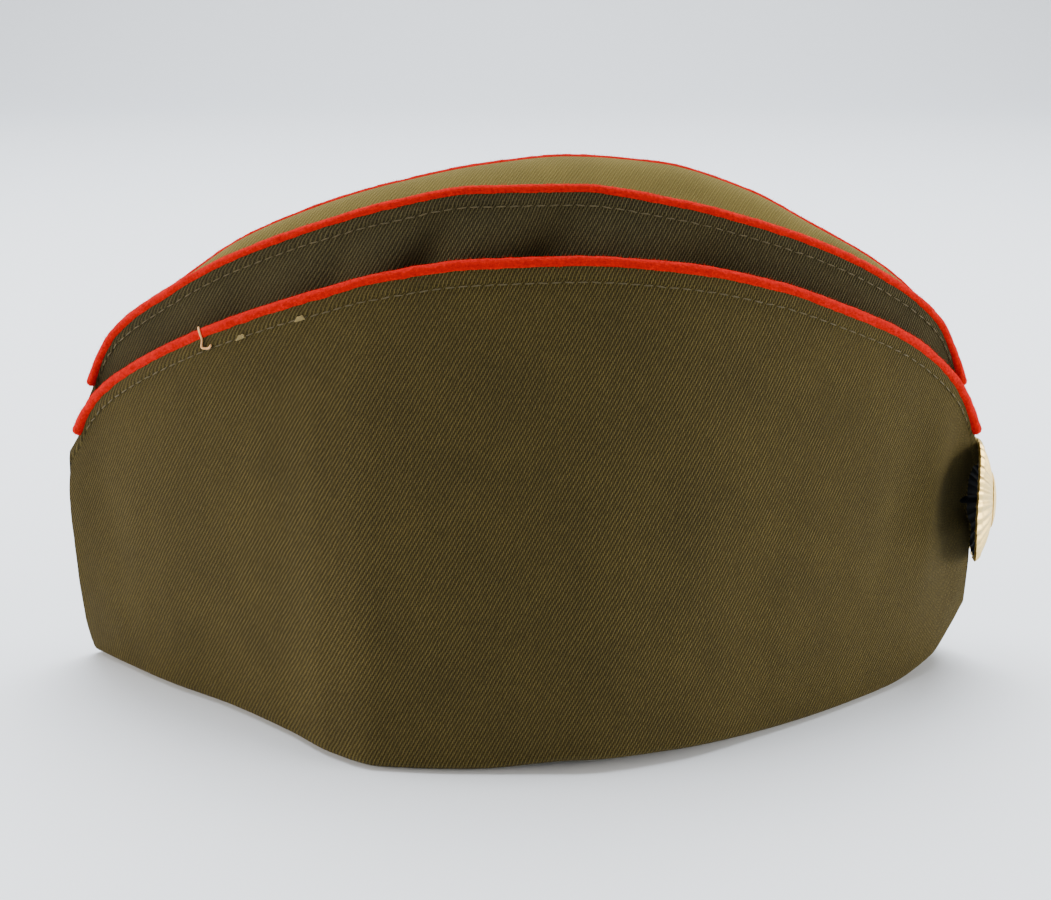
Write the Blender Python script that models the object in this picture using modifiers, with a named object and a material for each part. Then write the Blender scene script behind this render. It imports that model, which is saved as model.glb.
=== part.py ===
"""Garrison cap with piped seams, opened and standing on its hem.

Metres, +Z up. The front of the cap, with its cockade, points to +X, and the wearer's left is +Y.
Every cloth panel is lofted as the middle surface of its wall, and Solidify gives it its thickness.
"""

import math
from collections import namedtuple

import bmesh
import bpy
from mathutils import Vector

# Turn-up, the outer band of cloth that stands round the cap
FLAP_HALF_LENGTH = 0.1160
HEM_HALF_WIDTH = 0.0605
FLAP_TOP_HALF_WIDTH = 0.0340
FLAP_TIP_HEIGHT = 0.0635
FLAP_CREST_HEIGHT = 0.1161
FLAP_WALL = 0.0020
FLAP_BULGE = 0.0025
FRONT_HEM_LIFT = 0.0125
HEM_TURN = 0.0045
HEM_BEND = 0.0016

# Crown, the body of the cap inside the turn-up; its ridges rise above the turn-up's top edges
RIDGE_TIP_INSET = 0.0048
RIDGE_HALF_LENGTH = FLAP_HALF_LENGTH - RIDGE_TIP_INSET
RIDGE_HALF_WIDTH = 0.0240
RIDGE_TIP_RISE = 0.0130
RIDGE_TIP_HEIGHT = FLAP_TIP_HEIGHT + RIDGE_TIP_RISE
RIDGE_CREST_RISE = 0.0151
RIDGE_CREST_HEIGHT = FLAP_CREST_HEIGHT + RIDGE_CREST_RISE
CROWN_WALL = 0.0016
CROWN_SLACK = 0.0008
CROWN_BULGE = 0.0040
FOLD_DEPTH = 0.0016
TOP_WALL = 0.0016
TOP_SAG = 0.0130
TOP_TIP_HALF_WIDTH = 0.0012

# Piping, a felt cord in each seam
FLAP_PIPING_RADIUS = 0.0015
RIDGE_PIPING_RADIUS = 0.00125
TIP_EASE = 0.45

# Front and rear seams, and how they leave the straight line from hem to tip
REAR_SEAM_BULGE = 0.0024
REAR_BULGE_HEIGHT = 0.54 * FLAP_TIP_HEIGHT
REAR_BULGE_REACH = 0.52 * FLAP_TIP_HEIGHT
FRONT_SEAM_DENT = 0.0026
FRONT_DENT_REACH = 0.30 * FLAP_TIP_HEIGHT
SEAM_FADE = 0.20

# Cockade: an oval of rays, a plain centre and a hidden pin
COCKADE_HEIGHT = 0.0330
COCKADE_WIDTH = 0.0280
COCKADE_DOME = 0.0044
DOME_ROUNDING = 0.8
COCKADE_CURL = 0.0017
COCKADE_TILT_DEG = 3.0
COCKADE_TURN_DEG = 7.0
COCKADE_DROP = 0.0187
COCKADE_CENTRE_HEIGHT = FLAP_TIP_HEIGHT - COCKADE_DROP
COCKADE_STANDOFF = 0.0059
COCKADE_REACH = FLAP_HALF_LENGTH + COCKADE_STANDOFF
COCKADE_SHEET = 0.0008
RAY_COUNT = 30
RAY_DEPTH = 0.0007
RAY_TIP = 0.0009
CENTRE_WIDTH = 0.0120
CENTRE_HEIGHT = 0.0150
CENTRE_DOME = 0.0004
CENTRE_SHEET = 0.0005
PIN_RADIUS = 0.0010
PIN_LENGTH = 0.0200

CLEARANCE = 0.0003

# Grid of a cloth panel
PANEL_SPANS = 34
SPAN_CROWDING = 1.25
SEAM_OVERRUN = 0.045
BEND_SPANS = 3
WALL_SPANS = 7
CROWN_SPANS = 9
TOP_SPANS = 8
PLATE_RINGS = 5
CENTRE_RINGS = 3
CENTRE_SPOKES = 24
PIN_SIDES = 16

RIGHT = -1
LEFT = 1
SIDE_NAMES = {RIGHT: "right", LEFT: "left"}
STEP = 0.002
BULGE_PEAK = 4 / 27  # highest value of up squared times (1 - up)

# Heights and widths of the cap from the rear seam, along = -1, to the front seam, along = 1.
# hem_out is a share of HEM_HALF_WIDTH, hem_lift of FRONT_HEM_LIFT, flap_top of the rise from the
# flap's tips to its crest, and the ridges of the rise from the ridge's tips to its crest.
Station = namedtuple("Station", "along hem_out hem_lift flap_top ridge_right ridge_left")
STATIONS = (
    Station(-1.00, 0.000, 0.00, 0.000, 0.000, 0.000),
    Station(-0.92, 0.125, 0.00, 0.245, 0.275, 0.275),
    Station(-0.80, 0.300, 0.00, 0.440, 0.460, 0.430),
    Station(-0.65, 0.485, 0.00, 0.619, 0.640, 0.625),
    Station(-0.50, 0.710, 0.00, 0.758, 0.771, 0.745),
    Station(-0.40, 0.880, 0.00, 0.835, 0.843, 0.808),
    Station(-0.30, 0.975, 0.00, 0.907, 0.906, 0.858),
    Station(-0.10, 1.000, 0.02, 0.983, 0.985, 0.936),
    Station(0.10, 0.995, 0.18, 0.998, 0.992, 0.976),
    Station(0.30, 0.905, 0.15, 0.957, 0.927, 0.951),
    Station(0.50, 0.710, 0.03, 0.850, 0.811, 0.840),
    Station(0.65, 0.540, 0.00, 0.714, 0.692, 0.690),
    Station(0.80, 0.345, 0.01, 0.542, 0.525, 0.525),
    Station(0.92, 0.160, 0.25, 0.312, 0.325, 0.310),
    Station(1.00, 0.000, 1.00, 0.000, 0.000, 0.000),
)

# Soft upright folds in the crown: place and half width as shares of the half length, depth as a
# share of FOLD_DEPTH.
Fold = namedtuple("Fold", "along width depth")
FOLDS = (
    Fold(-0.62, 0.06, 0.35),
    Fold(-0.42, 0.06, 0.50),
    Fold(-0.24, 0.06, 0.80),
    Fold(-0.01, 0.08, 1.00),
    Fold(0.41, 0.12, 0.90),
    Fold(0.70, 0.08, 0.40),
)
FOLD_MIDDLE = 0.80
FOLD_REACH = 0.20


def row_slopes(places, values):
    """Slope of a column at each row; it is flat at a turn, so a level stretch stays level."""
    steps = [(b - a) / (q - p) for p, q, a, b in zip(places, places[1:], values, values[1:])]
    inner = [0 if a * b <= 0 else 2 * a * b / (a + b) for a, b in zip(steps, steps[1:])]
    return [steps[0], *inner, steps[-1]]


def share(column, along):
    """Value of a column of STATIONS at any place, on a smooth curve through its rows."""
    places = [row.along for row in STATIONS]
    values = [getattr(row, column) for row in STATIONS]
    slopes = row_slopes(places, values)
    if along <= places[0]:
        return values[0] + slopes[0] * (along - places[0])
    if along >= places[-1]:
        return values[-1] + slopes[-1] * (along - places[-1])
    row = max(i for i, place in enumerate(places[:-1]) if place <= along)
    gap = places[row + 1] - places[row]
    t = (along - places[row]) / gap
    return (
        values[row] * (1 + 2 * t) * (1 - t) ** 2
        + slopes[row] * gap * t * (1 - t) ** 2
        + values[row + 1] * t ** 2 * (3 - 2 * t)
        + slopes[row + 1] * gap * t ** 2 * (t - 1)
    )


def mound(distance, reach):
    """1 at the middle of a soft swelling, 0 at its reach and past it."""
    return max(0.0, 1 - (distance / reach) ** 2)


def seam_shift(along, height):
    """How far the cloth near the front or rear seam moves along X at this height."""
    fade = max(0.0, (abs(along) - 1 + SEAM_FADE) / SEAM_FADE) ** 2
    if along < 0:
        return -REAR_SEAM_BULGE * fade * mound(height - REAR_BULGE_HEIGHT, REAR_BULGE_REACH)
    return -FRONT_SEAM_DENT * fade * mound(height - COCKADE_CENTRE_HEIGHT, FRONT_DENT_REACH)


def flap_top(side, along):
    """The line of the flap's top edge, where its piping runs."""
    rise = (FLAP_CREST_HEIGHT - FLAP_TIP_HEIGHT) * share("flap_top", along)
    width = FLAP_TOP_HALF_WIDTH * (1 - along ** 2)
    return Vector((along * FLAP_HALF_LENGTH, side * width, FLAP_TIP_HEIGHT + rise))


def ridge(side, along):
    """The line of the crown's ridge, where the side meets the top."""
    column = "ridge_" + SIDE_NAMES[side]
    rise = (RIDGE_CREST_HEIGHT - RIDGE_TIP_HEIGHT) * share(column, along)
    width = RIDGE_HALF_WIDTH * (1 - along ** 2)
    return Vector((along * RIDGE_HALF_LENGTH, side * width, RIDGE_TIP_HEIGHT + rise))


def hem(side, along):
    """The corner of the hem fold, in the middle of the cloth."""
    width = HEM_HALF_WIDTH * share("hem_out", along)
    height = FRONT_HEM_LIFT * share("hem_lift", along) + FLAP_WALL / 2
    return Vector((along * FLAP_HALF_LENGTH, side * width, height))


def hem_inward(side, along):
    """Level direction from the hem to the inside of the cap."""
    run = hem(side, along + STEP) - hem(side, along - STEP)
    return Vector((run.y, -run.x, 0)).normalized() * side


def beside(line, side, along, target, distance):
    """The point at this distance from a line, square to it and towards the target."""
    here = line(side, along)
    run = (line(side, along + STEP) - line(side, along - STEP)).normalized()
    towards = target - here
    towards -= run * towards.dot(run)
    return here + towards.normalized() * distance


def piping_offset(line, side, along, radius):
    """How far a cord keeps out from its line near the tips, to pass the cord of the other side."""
    out = abs(line(side, along).y)
    return math.hypot(out, radius + CLEARANCE / 2) - out


def edge_distance(line, side, along, radius):
    """From a seam's line to the edge of the cloth that its cord lies on."""
    return radius + CLEARANCE + TIP_EASE * piping_offset(line, side, along, radius)


def flap_section(side, along):
    """The flap from the inner end of its hem turn, round the fold and up to its top edge."""
    corner = hem(side, along)
    inward = hem_inward(side, along)
    bend = corner + (inward + Vector((0, 0, 1))) * HEM_BEND
    points = [corner + inward * HEM_TURN]
    for i in range(BEND_SPANS + 1):
        angle = math.radians(90) * i / BEND_SPANS
        points.append(bend - (inward * math.sin(angle) + Vector((0, 0, math.cos(angle)))) * HEM_BEND)
    foot = points[-1]
    edge = beside(flap_top, side, along, foot, edge_distance(flap_top, side, along, FLAP_PIPING_RADIUS))
    for i in range(1, WALL_SPANS + 1):
        up = i / WALL_SPANS
        point = foot.lerp(edge, up)
        point -= inward * FLAP_BULGE * (1 - along ** 2) * 4 * up * (1 - up)
        point.x += seam_shift(along, point.z) * (1 - up ** 8)
        points.append(point)
    return points


def fold_depth(along, up):
    """How far the crown's folds sink in at this place."""
    across = sum(f.depth * math.exp(-(((along - f.along) / f.width) ** 2)) for f in FOLDS)
    return FOLD_DEPTH * across * math.exp(-(((up - FOLD_MIDDLE) / FOLD_REACH) ** 2)) * (1 - up ** 8)


def crown_section(side, along):
    """A side of the crown: from above the hem turn, just inside the flap's top edge, to the ridge."""
    inward = hem_inward(side, along)
    inset = (FLAP_WALL + CROWN_WALL) / 2 + CLEARANCE + CROWN_SLACK
    run = hem(side, along + STEP) - hem(side, along - STEP)
    slant = run.length / run.to_2d().length
    rise = (FLAP_WALL / 2 + CLEARANCE + CROWN_SLACK / 2) * slant
    foot = hem(side, along) + inward * inset + Vector((0, 0, rise))
    edge = beside(ridge, side, along, foot, edge_distance(ridge, side, along, RIDGE_PIPING_RADIUS))
    neck = flap_top(side, along) + inward * inset
    at_neck = (neck.z - foot.z) / (edge.z - foot.z)
    room = (foot.lerp(edge, at_neck) - neck).dot(inward) / (at_neck ** 2 * (1 - at_neck))
    bulge = min(room, CROWN_BULGE / BULGE_PEAK) * (1 - along ** 2)
    points = []
    for i in range(CROWN_SPANS + 1):
        up = i / CROWN_SPANS
        sink = fold_depth(along, up) - bulge * up ** 2 * (1 - up)
        point = foot.lerp(edge, up) + inward * sink
        point.x += seam_shift(along, point.z) * (1 - up ** 8)
        points.append(point)
    return points


def top_section(along):
    """The sunken top, from the right ridge to the left one."""
    ends = []
    for side in (RIGHT, LEFT):
        line = ridge(side, along)
        middle = Vector((line.x, 0, line.z))
        ends.append(beside(ridge, side, along, middle, RIDGE_PIPING_RADIUS + CLEARANCE))
    points = []
    for i in range(TOP_SPANS + 1):
        across = i / TOP_SPANS
        point = ends[0].lerp(ends[1], across)
        point.z -= TOP_SAG * (1 - along ** 2) * math.sin(math.pi * across) ** 2
        points.append(point)
    return points


def stations(end, overrun):
    """Places along a panel, closer together towards its ends."""
    steps = [2 * i / PANEL_SPANS - 1 for i in range(PANEL_SPANS + 1)]
    places = [end * math.sin(SPAN_CROWDING * t) / math.sin(SPAN_CROWDING) for t in steps]
    if overrun:
        places = [-end - overrun, *places, end + overrun]
    return places


def new_collection(name):
    collection = bpy.data.collections.new(name)
    bpy.context.scene.collection.children.link(collection)
    return collection


def new_material(name, colour, roughness, metallic=0.0):
    material = bpy.data.materials.new(name)
    material.use_nodes = True
    shader = material.node_tree.nodes["Principled BSDF"]
    shader.inputs["Base Color"].default_value = (*colour, 1)
    shader.inputs["Roughness"].default_value = roughness
    shader.inputs["Metallic"].default_value = metallic
    return material


def add_object(name, data, collection, material=None, parent=None):
    obj = bpy.data.objects.new(name, data)
    collection.objects.link(obj)
    if material:
        data.materials.append(material)
    obj.parent = parent
    return obj


def loft(name, rows):
    """An open surface through rows of points."""
    bm = bmesh.new()
    grid = [[bm.verts.new(point) for point in row] for row in rows]
    for lower, upper in zip(grid, grid[1:]):
        for a, b, c, d in zip(lower, lower[1:], upper[1:], upper):
            bm.faces.new((a, b, c, d))
    bmesh.ops.recalc_face_normals(bm, faces=bm.faces)
    for face in bm.faces:
        face.smooth = True
    mesh = bpy.data.meshes.new(name)
    bm.to_mesh(mesh)
    bm.free()
    return mesh


def add_wall(obj, thickness):
    solidify = obj.modifiers.new("wall", "SOLIDIFY")
    solidify.thickness = thickness
    solidify.offset = 0
    solidify.use_even_offset = True
    solidify.use_quality_normals = True


def add_cuts(obj, cutters):
    """Cuts a collection of cutters away in one go."""
    cut = obj.modifiers.new(cutters.name, "BOOLEAN")
    cut.operation = "DIFFERENCE"
    cut.operand_type = "COLLECTION"
    cut.collection = cutters


def make_cutter(name, bm, collection):
    mesh = bpy.data.meshes.new(name)
    bm.to_mesh(mesh)
    bm.free()
    cutter = add_object(name, mesh, collection)
    cutter.hide_render = True
    cutter.display_type = "WIRE"
    return cutter


def make_seam_cutter(side, collection):
    """A box over the other half of the cap, which trims a side panel at the front and rear seam."""
    size = 3 * FLAP_HALF_LENGTH
    bm = bmesh.new()
    bmesh.ops.create_cube(bm, size=size)
    bmesh.ops.translate(bm, verts=bm.verts, vec=(0, -side * (size - CLEARANCE) / 2, 0))
    return make_cutter("seam_cutter_" + SIDE_NAMES[side], bm, collection)


def rod(radius, start, end, height):
    """A round rod along X at this height."""
    bm = bmesh.new()
    bmesh.ops.create_cone(
        bm, cap_ends=True, segments=PIN_SIDES, radius1=radius, radius2=radius, depth=end - start
    )
    for vert in bm.verts:
        vert.co = Vector((vert.co.z + (start + end) / 2, vert.co.y, height - vert.co.x))
    bm.normal_update()
    bmesh.ops.recalc_face_normals(bm, faces=bm.faces)
    return bm


def make_side_panel(name, section, side, wall, cutters, collection, material, parent):
    rows = [section(side, along) for along in stations(1, SEAM_OVERRUN)]
    panel = add_object(name + "_" + SIDE_NAMES[side], loft(name, rows), collection, material, parent)
    add_wall(panel, wall)
    add_cuts(panel, cutters)
    return panel


def make_top(collection, material, parent):
    edge = RIDGE_PIPING_RADIUS + CLEARANCE + TOP_TIP_HALF_WIDTH
    end = math.sqrt(1 - edge / RIDGE_HALF_WIDTH)
    top = add_object(
        "crown_top", loft("crown_top", map(top_section, stations(end, 0))), collection, material, parent
    )
    add_wall(top, TOP_WALL)
    return top


def make_piping(name, line, side, radius, collection, material, parent):
    """A cord along a seam, from the rear tip to the front one."""
    curve = bpy.data.curves.new(name, "CURVE")
    curve.dimensions = "3D"
    curve.bevel_depth = radius
    curve.bevel_resolution = 2
    curve.use_fill_caps = True
    spline = curve.splines.new("POLY")
    spline.points.add(PANEL_SPANS)
    for point, along in zip(spline.points, stations(1, 0)):
        place = line(side, along)
        place.y += side * piping_offset(line, side, along, radius)
        point.co = (*place, 1)
    return add_object(name + "_" + SIDE_NAMES[side], curve, collection, material, parent)


def cockade_face(y, z):
    """Where the smooth dome of the cockade lies along X, at this place from its middle."""
    across = math.hypot(2 * y / COCKADE_WIDTH, 2 * z / COCKADE_HEIGHT)
    drop = 1 - math.sqrt(max(0.0, 1 - DOME_ROUNDING * across ** 2))
    x = COCKADE_REACH - COCKADE_DOME * drop / (1 - math.sqrt(1 - DOME_ROUNDING))
    x -= COCKADE_CURL * (2 * y / COCKADE_WIDTH) ** 2
    x -= math.tan(math.radians(COCKADE_TILT_DEG)) * z
    return x + math.tan(math.radians(COCKADE_TURN_DEG)) * y


def ray_point(across, angle):
    """A point of the rayed plate: flutes that deepen towards a toothed rim."""
    valley = 0.5 - 0.5 * math.cos(RAY_COUNT * angle)
    reach = across - RAY_TIP * valley * across ** 4 / (COCKADE_WIDTH / 2)
    y = COCKADE_WIDTH / 2 * reach * math.cos(angle)
    z = COCKADE_HEIGHT / 2 * reach * math.sin(angle)
    x = cockade_face(y, z) - RAY_DEPTH * valley * across
    return Vector((x, y, COCKADE_CENTRE_HEIGHT + z))


def centre_point(across, angle):
    """A point of the plain centre, a low dome that rests on the plate."""
    y = CENTRE_WIDTH / 2 * across * math.cos(angle)
    z = CENTRE_HEIGHT / 2 * across * math.sin(angle)
    seat = (COCKADE_SHEET + CENTRE_SHEET) / 2 + CLEARANCE
    x = cockade_face(y, z) + seat + CENTRE_DOME * (1 - across ** 2)
    return Vector((x, y, COCKADE_CENTRE_HEIGHT + z))


def make_oval(name, point_at, rings, spokes, sheet, collection, material, parent):
    """An oval sheet of rings round a middle point."""
    bm = bmesh.new()
    middle = bm.verts.new(point_at(0, 0))
    angles = [2 * math.pi * i / spokes for i in range(spokes)]
    circles = []
    for ring in range(1, rings + 1):
        circles.append([bm.verts.new(point_at(ring / rings, angle)) for angle in angles])
    for i in range(spokes):
        j = (i + 1) % spokes
        bm.faces.new((middle, circles[0][i], circles[0][j]))
        for inner, outer in zip(circles, circles[1:]):
            bm.faces.new((inner[i], outer[i], outer[j], inner[j]))
    for face in bm.faces:
        face.smooth = True
    mesh = bpy.data.meshes.new(name)
    bm.to_mesh(mesh)
    bm.free()
    oval = add_object(name, mesh, collection, material, parent)
    add_wall(oval, sheet)


def make_cockade(collection, material, parent):
    finish = (collection, material, parent)
    make_oval("cockade_rays", ray_point, PLATE_RINGS, 2 * RAY_COUNT, COCKADE_SHEET, *finish)
    make_oval("cockade_centre", centre_point, CENTRE_RINGS, CENTRE_SPOKES, CENTRE_SHEET, *finish)
    end = COCKADE_REACH - COCKADE_SHEET / 2 - 2 * CLEARANCE
    bm = rod(PIN_RADIUS, end - PIN_LENGTH, end, COCKADE_CENTRE_HEIGHT)
    mesh = bpy.data.meshes.new("cockade_pin")
    bm.to_mesh(mesh)
    bm.free()
    add_object("cockade_pin", mesh, collection, material, parent)


def stand_on_origin(collection, parent):
    """Moves the cap so that the middle of its box's underside is the origin."""
    bpy.context.view_layer.update()
    graph = bpy.context.evaluated_depsgraph_get()
    points = []
    for obj in collection.objects:
        if obj.type == "EMPTY":
            continue
        evaluated = obj.evaluated_get(graph)
        mesh = evaluated.to_mesh()
        points.extend(evaluated.matrix_world @ vert.co for vert in mesh.vertices)
        evaluated.to_mesh_clear()
    low = Vector([min(p[i] for p in points) for i in range(3)])
    high = Vector([max(p[i] for p in points) for i in range(3)])
    parent.location = (-(low.x + high.x) / 2, -(low.y + high.y) / 2, -low.z)


def main():
    for obj in list(bpy.data.objects):
        bpy.data.objects.remove(obj)

    cap = new_collection("garrison_cap")
    base = bpy.data.objects.new("cap_base", None)
    cap.objects.link(base)

    twill = new_material("olive_wool_twill", (0.105, 0.082, 0.028), 0.95)
    felt = new_material("red_piping_felt", (0.75, 0.015, 0.01), 0.9)
    gilt = new_material("gilt_brass", (0.80, 0.68, 0.38), 0.35, metallic=1.0)

    hole = rod(PIN_RADIUS + CLEARANCE, RIDGE_HALF_LENGTH / 2, COCKADE_REACH, COCKADE_CENTRE_HEIGHT)
    pin_hole = make_cutter("pin_hole_cutter", hole, new_collection("cutters"))
    for side in (RIGHT, LEFT):
        trims = new_collection("cutters_" + SIDE_NAMES[side])
        trims.objects.link(pin_hole)
        make_seam_cutter(side, trims)
        make_side_panel("flap", flap_section, side, FLAP_WALL, trims, cap, twill, base)
        make_side_panel("crown_side", crown_section, side, CROWN_WALL, trims, cap, twill, base)
        make_piping("flap_piping", flap_top, side, FLAP_PIPING_RADIUS, cap, felt, base)
        make_piping("ridge_piping", ridge, side, RIDGE_PIPING_RADIUS, cap, felt, base)
    make_top(cap, twill, base)
    make_cockade(cap, gilt, base)
    stand_on_origin(cap, base)


main()
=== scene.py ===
# %% [markdown]
# # Garrison cap
# A cloth cap stands open on its hem: an outer turn-up, or flap, round a crown with two ridges
# and a sunken top. This notebook dresses the frame of the cap in cloth, felt cord and gilt metal.
#
# All lengths are in metres. +X is the front, +Y the wearer's left and +Z up.

import math
from collections import namedtuple

import bmesh
import bpy
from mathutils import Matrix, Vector, noise


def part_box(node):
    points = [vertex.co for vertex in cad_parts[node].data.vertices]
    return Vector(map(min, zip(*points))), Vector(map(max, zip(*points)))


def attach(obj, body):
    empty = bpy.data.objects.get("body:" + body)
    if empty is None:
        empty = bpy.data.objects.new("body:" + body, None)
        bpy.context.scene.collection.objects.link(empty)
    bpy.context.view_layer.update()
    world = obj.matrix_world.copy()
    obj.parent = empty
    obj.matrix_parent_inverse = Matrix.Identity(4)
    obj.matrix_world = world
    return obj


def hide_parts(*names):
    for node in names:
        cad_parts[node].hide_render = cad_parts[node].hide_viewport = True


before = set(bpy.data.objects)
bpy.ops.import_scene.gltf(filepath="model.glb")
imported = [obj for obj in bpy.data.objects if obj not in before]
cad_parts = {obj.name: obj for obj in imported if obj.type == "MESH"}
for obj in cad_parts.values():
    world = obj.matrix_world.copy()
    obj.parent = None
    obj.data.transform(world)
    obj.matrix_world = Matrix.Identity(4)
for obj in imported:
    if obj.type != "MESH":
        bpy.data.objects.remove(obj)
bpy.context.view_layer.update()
print("nodes of the frame:", ", ".join(sorted(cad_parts)))

# %% [markdown]
# ## Sizes
# The names and values repeat those of the frame, so that the cloth lies where its solids lie.
# The frame was moved to stand on the origin. The hidden end of the cockade's pin shows by how much.

# %%
FLAP_HALF_LENGTH = 0.1160
HEM_HALF_WIDTH = 0.0605
FLAP_TOP_HALF_WIDTH = 0.0340
FLAP_TIP_HEIGHT = 0.0635
FLAP_CREST_HEIGHT = 0.1161
FLAP_WALL = 0.0020
FLAP_BULGE = 0.0025
FRONT_HEM_LIFT = 0.0125
HEM_TURN = 0.0045
HEM_BEND = 0.0016
RIDGE_HALF_LENGTH = 0.1112
RIDGE_HALF_WIDTH = 0.0240
RIDGE_TIP_HEIGHT = 0.0765
RIDGE_CREST_HEIGHT = 0.1312
CROWN_WALL = 0.0016
CROWN_INSET = 0.0029
CROWN_BULGE = 0.0040
TOP_WALL = 0.0016
TOP_SAG = 0.0130
FLAP_CORD = 0.0015
RIDGE_CORD = 0.00125
CLEARANCE = 0.0003
COCKADE_HEIGHT = 0.0330
COCKADE_WIDTH = 0.0280
COCKADE_MIDDLE = 0.0448
COCKADE_REACH = 0.1219
COCKADE_SHEET = 0.0008

RIGHT, LEFT = -1, 1
SIDE_NAMES = {RIGHT: "right", LEFT: "left"}
STEP = 0.002

pin_end = COCKADE_REACH - COCKADE_SHEET / 2 - 2 * CLEARANCE
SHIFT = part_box("cockade_pin")[1][0] - pin_end
print(f"the frame stands {SHIFT * 1000:.2f} mm along X from where it was drawn")

# %% [markdown]
# ## The lines of the cap
# A short table gives the hem, the flap's top edge and the two ridges from the rear seam, along = -1,
# to the front seam, along = 1. A smooth curve through each column gives the places between.

# %%
Station = namedtuple("Station", "along hem_out hem_lift flap_top ridge_right ridge_left")
STATIONS = (
    Station(-1.00, 0.000, 0.00, 0.000, 0.000, 0.000),
    Station(-0.97, 0.047, 0.00, 0.112, 0.130, 0.130),
    Station(-0.92, 0.125, 0.00, 0.245, 0.275, 0.275),
    Station(-0.80, 0.300, 0.00, 0.440, 0.460, 0.430),
    Station(-0.65, 0.485, 0.00, 0.619, 0.640, 0.625),
    Station(-0.50, 0.710, 0.00, 0.758, 0.771, 0.745),
    Station(-0.40, 0.880, 0.00, 0.835, 0.843, 0.808),
    Station(-0.30, 0.975, 0.00, 0.907, 0.906, 0.858),
    Station(-0.10, 1.000, 0.02, 0.983, 0.985, 0.936),
    Station(0.10, 0.995, 0.18, 0.998, 0.992, 0.976),
    Station(0.30, 0.905, 0.15, 0.957, 0.927, 0.951),
    Station(0.50, 0.710, 0.03, 0.850, 0.811, 0.840),
    Station(0.65, 0.540, 0.00, 0.714, 0.692, 0.690),
    Station(0.80, 0.345, 0.01, 0.542, 0.525, 0.525),
    Station(0.92, 0.160, 0.25, 0.312, 0.325, 0.310),
    Station(0.97, 0.060, 0.66, 0.145, 0.148, 0.142),
    Station(1.00, 0.000, 1.00, 0.000, 0.000, 0.000),
)


def row_slopes(places, values):
    """Slope of a column at each row; it is flat at a turn, so a level stretch stays level."""
    steps = [(b - a) / (q - p) for p, q, a, b in zip(places, places[1:], values, values[1:])]
    inner = [0 if a * b <= 0 else 2 * a * b / (a + b) for a, b in zip(steps, steps[1:])]
    return [steps[0], *inner, steps[-1]]


PLACES = [row.along for row in STATIONS]
COLUMNS = {name: [getattr(row, name) for row in STATIONS] for name in Station._fields[1:]}
SLOPES = {name: row_slopes(PLACES, values) for name, values in COLUMNS.items()}


def share(column, along):
    """Value of a column of STATIONS at any place."""
    values, slopes = COLUMNS[column], SLOPES[column]
    if along <= PLACES[0]:
        return values[0] + slopes[0] * (along - PLACES[0])
    if along >= PLACES[-1]:
        return values[-1] + slopes[-1] * (along - PLACES[-1])
    row = max(i for i, place in enumerate(PLACES[:-1]) if place <= along)
    gap = PLACES[row + 1] - PLACES[row]
    t = (along - PLACES[row]) / gap
    return (
        values[row] * (1 + 2 * t) * (1 - t) ** 2
        + slopes[row] * gap * t * (1 - t) ** 2
        + values[row + 1] * t ** 2 * (3 - 2 * t)
        + slopes[row + 1] * gap * t ** 2 * (t - 1)
    )


def flap_top(side, along):
    rise = (FLAP_CREST_HEIGHT - FLAP_TIP_HEIGHT) * share("flap_top", along)
    width = FLAP_TOP_HALF_WIDTH * (1 - along ** 2)
    return Vector((along * FLAP_HALF_LENGTH + SHIFT, side * width, FLAP_TIP_HEIGHT + rise))


def ridge(side, along):
    rise = (RIDGE_CREST_HEIGHT - RIDGE_TIP_HEIGHT) * share("ridge_" + SIDE_NAMES[side], along)
    width = RIDGE_HALF_WIDTH * (1 - along ** 2)
    return Vector((along * RIDGE_HALF_LENGTH + SHIFT, side * width, RIDGE_TIP_HEIGHT + rise))


def hem(side, along):
    width = HEM_HALF_WIDTH * share("hem_out", along)
    height = FRONT_HEM_LIFT * share("hem_lift", along) + FLAP_WALL / 2
    return Vector((along * FLAP_HALF_LENGTH + SHIFT, side * width, height))


def hem_inward(side, along):
    run = hem(side, along + STEP) - hem(side, along - STEP)
    return Vector((run.y, -run.x, 0)).normalized() * side


def beside(line, side, along, target, distance):
    """The point at this distance from a line, square to it and towards the target."""
    here = line(side, along)
    run = (line(side, along + STEP) - line(side, along - STEP)).normalized()
    towards = target - here
    towards -= run * towards.dot(run)
    return here + towards.normalized() * distance


def cord_offset(line, side, along, radius):
    """How far a cord keeps out from its line near the tips, to pass the cord of the other side."""
    out = abs(line(side, along).y)
    return math.hypot(out, radius + CLEARANCE / 2) - out


print(f"ridge {1000 * (ridge(RIGHT, 0.1).z - flap_top(RIGHT, 0.1).z):.1f} mm above the flap's edge")

# %% [markdown]
# ## Cloth that hangs and folds
# Cloth is never a plain lofted sheet. Three things make it cloth here: long soft folds that slant
# across the crown, a thicker band where the edge is folded under and stitched down beside each
# cord, and a gentle unevenness everywhere. All of them are small moves of the surface.

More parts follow.
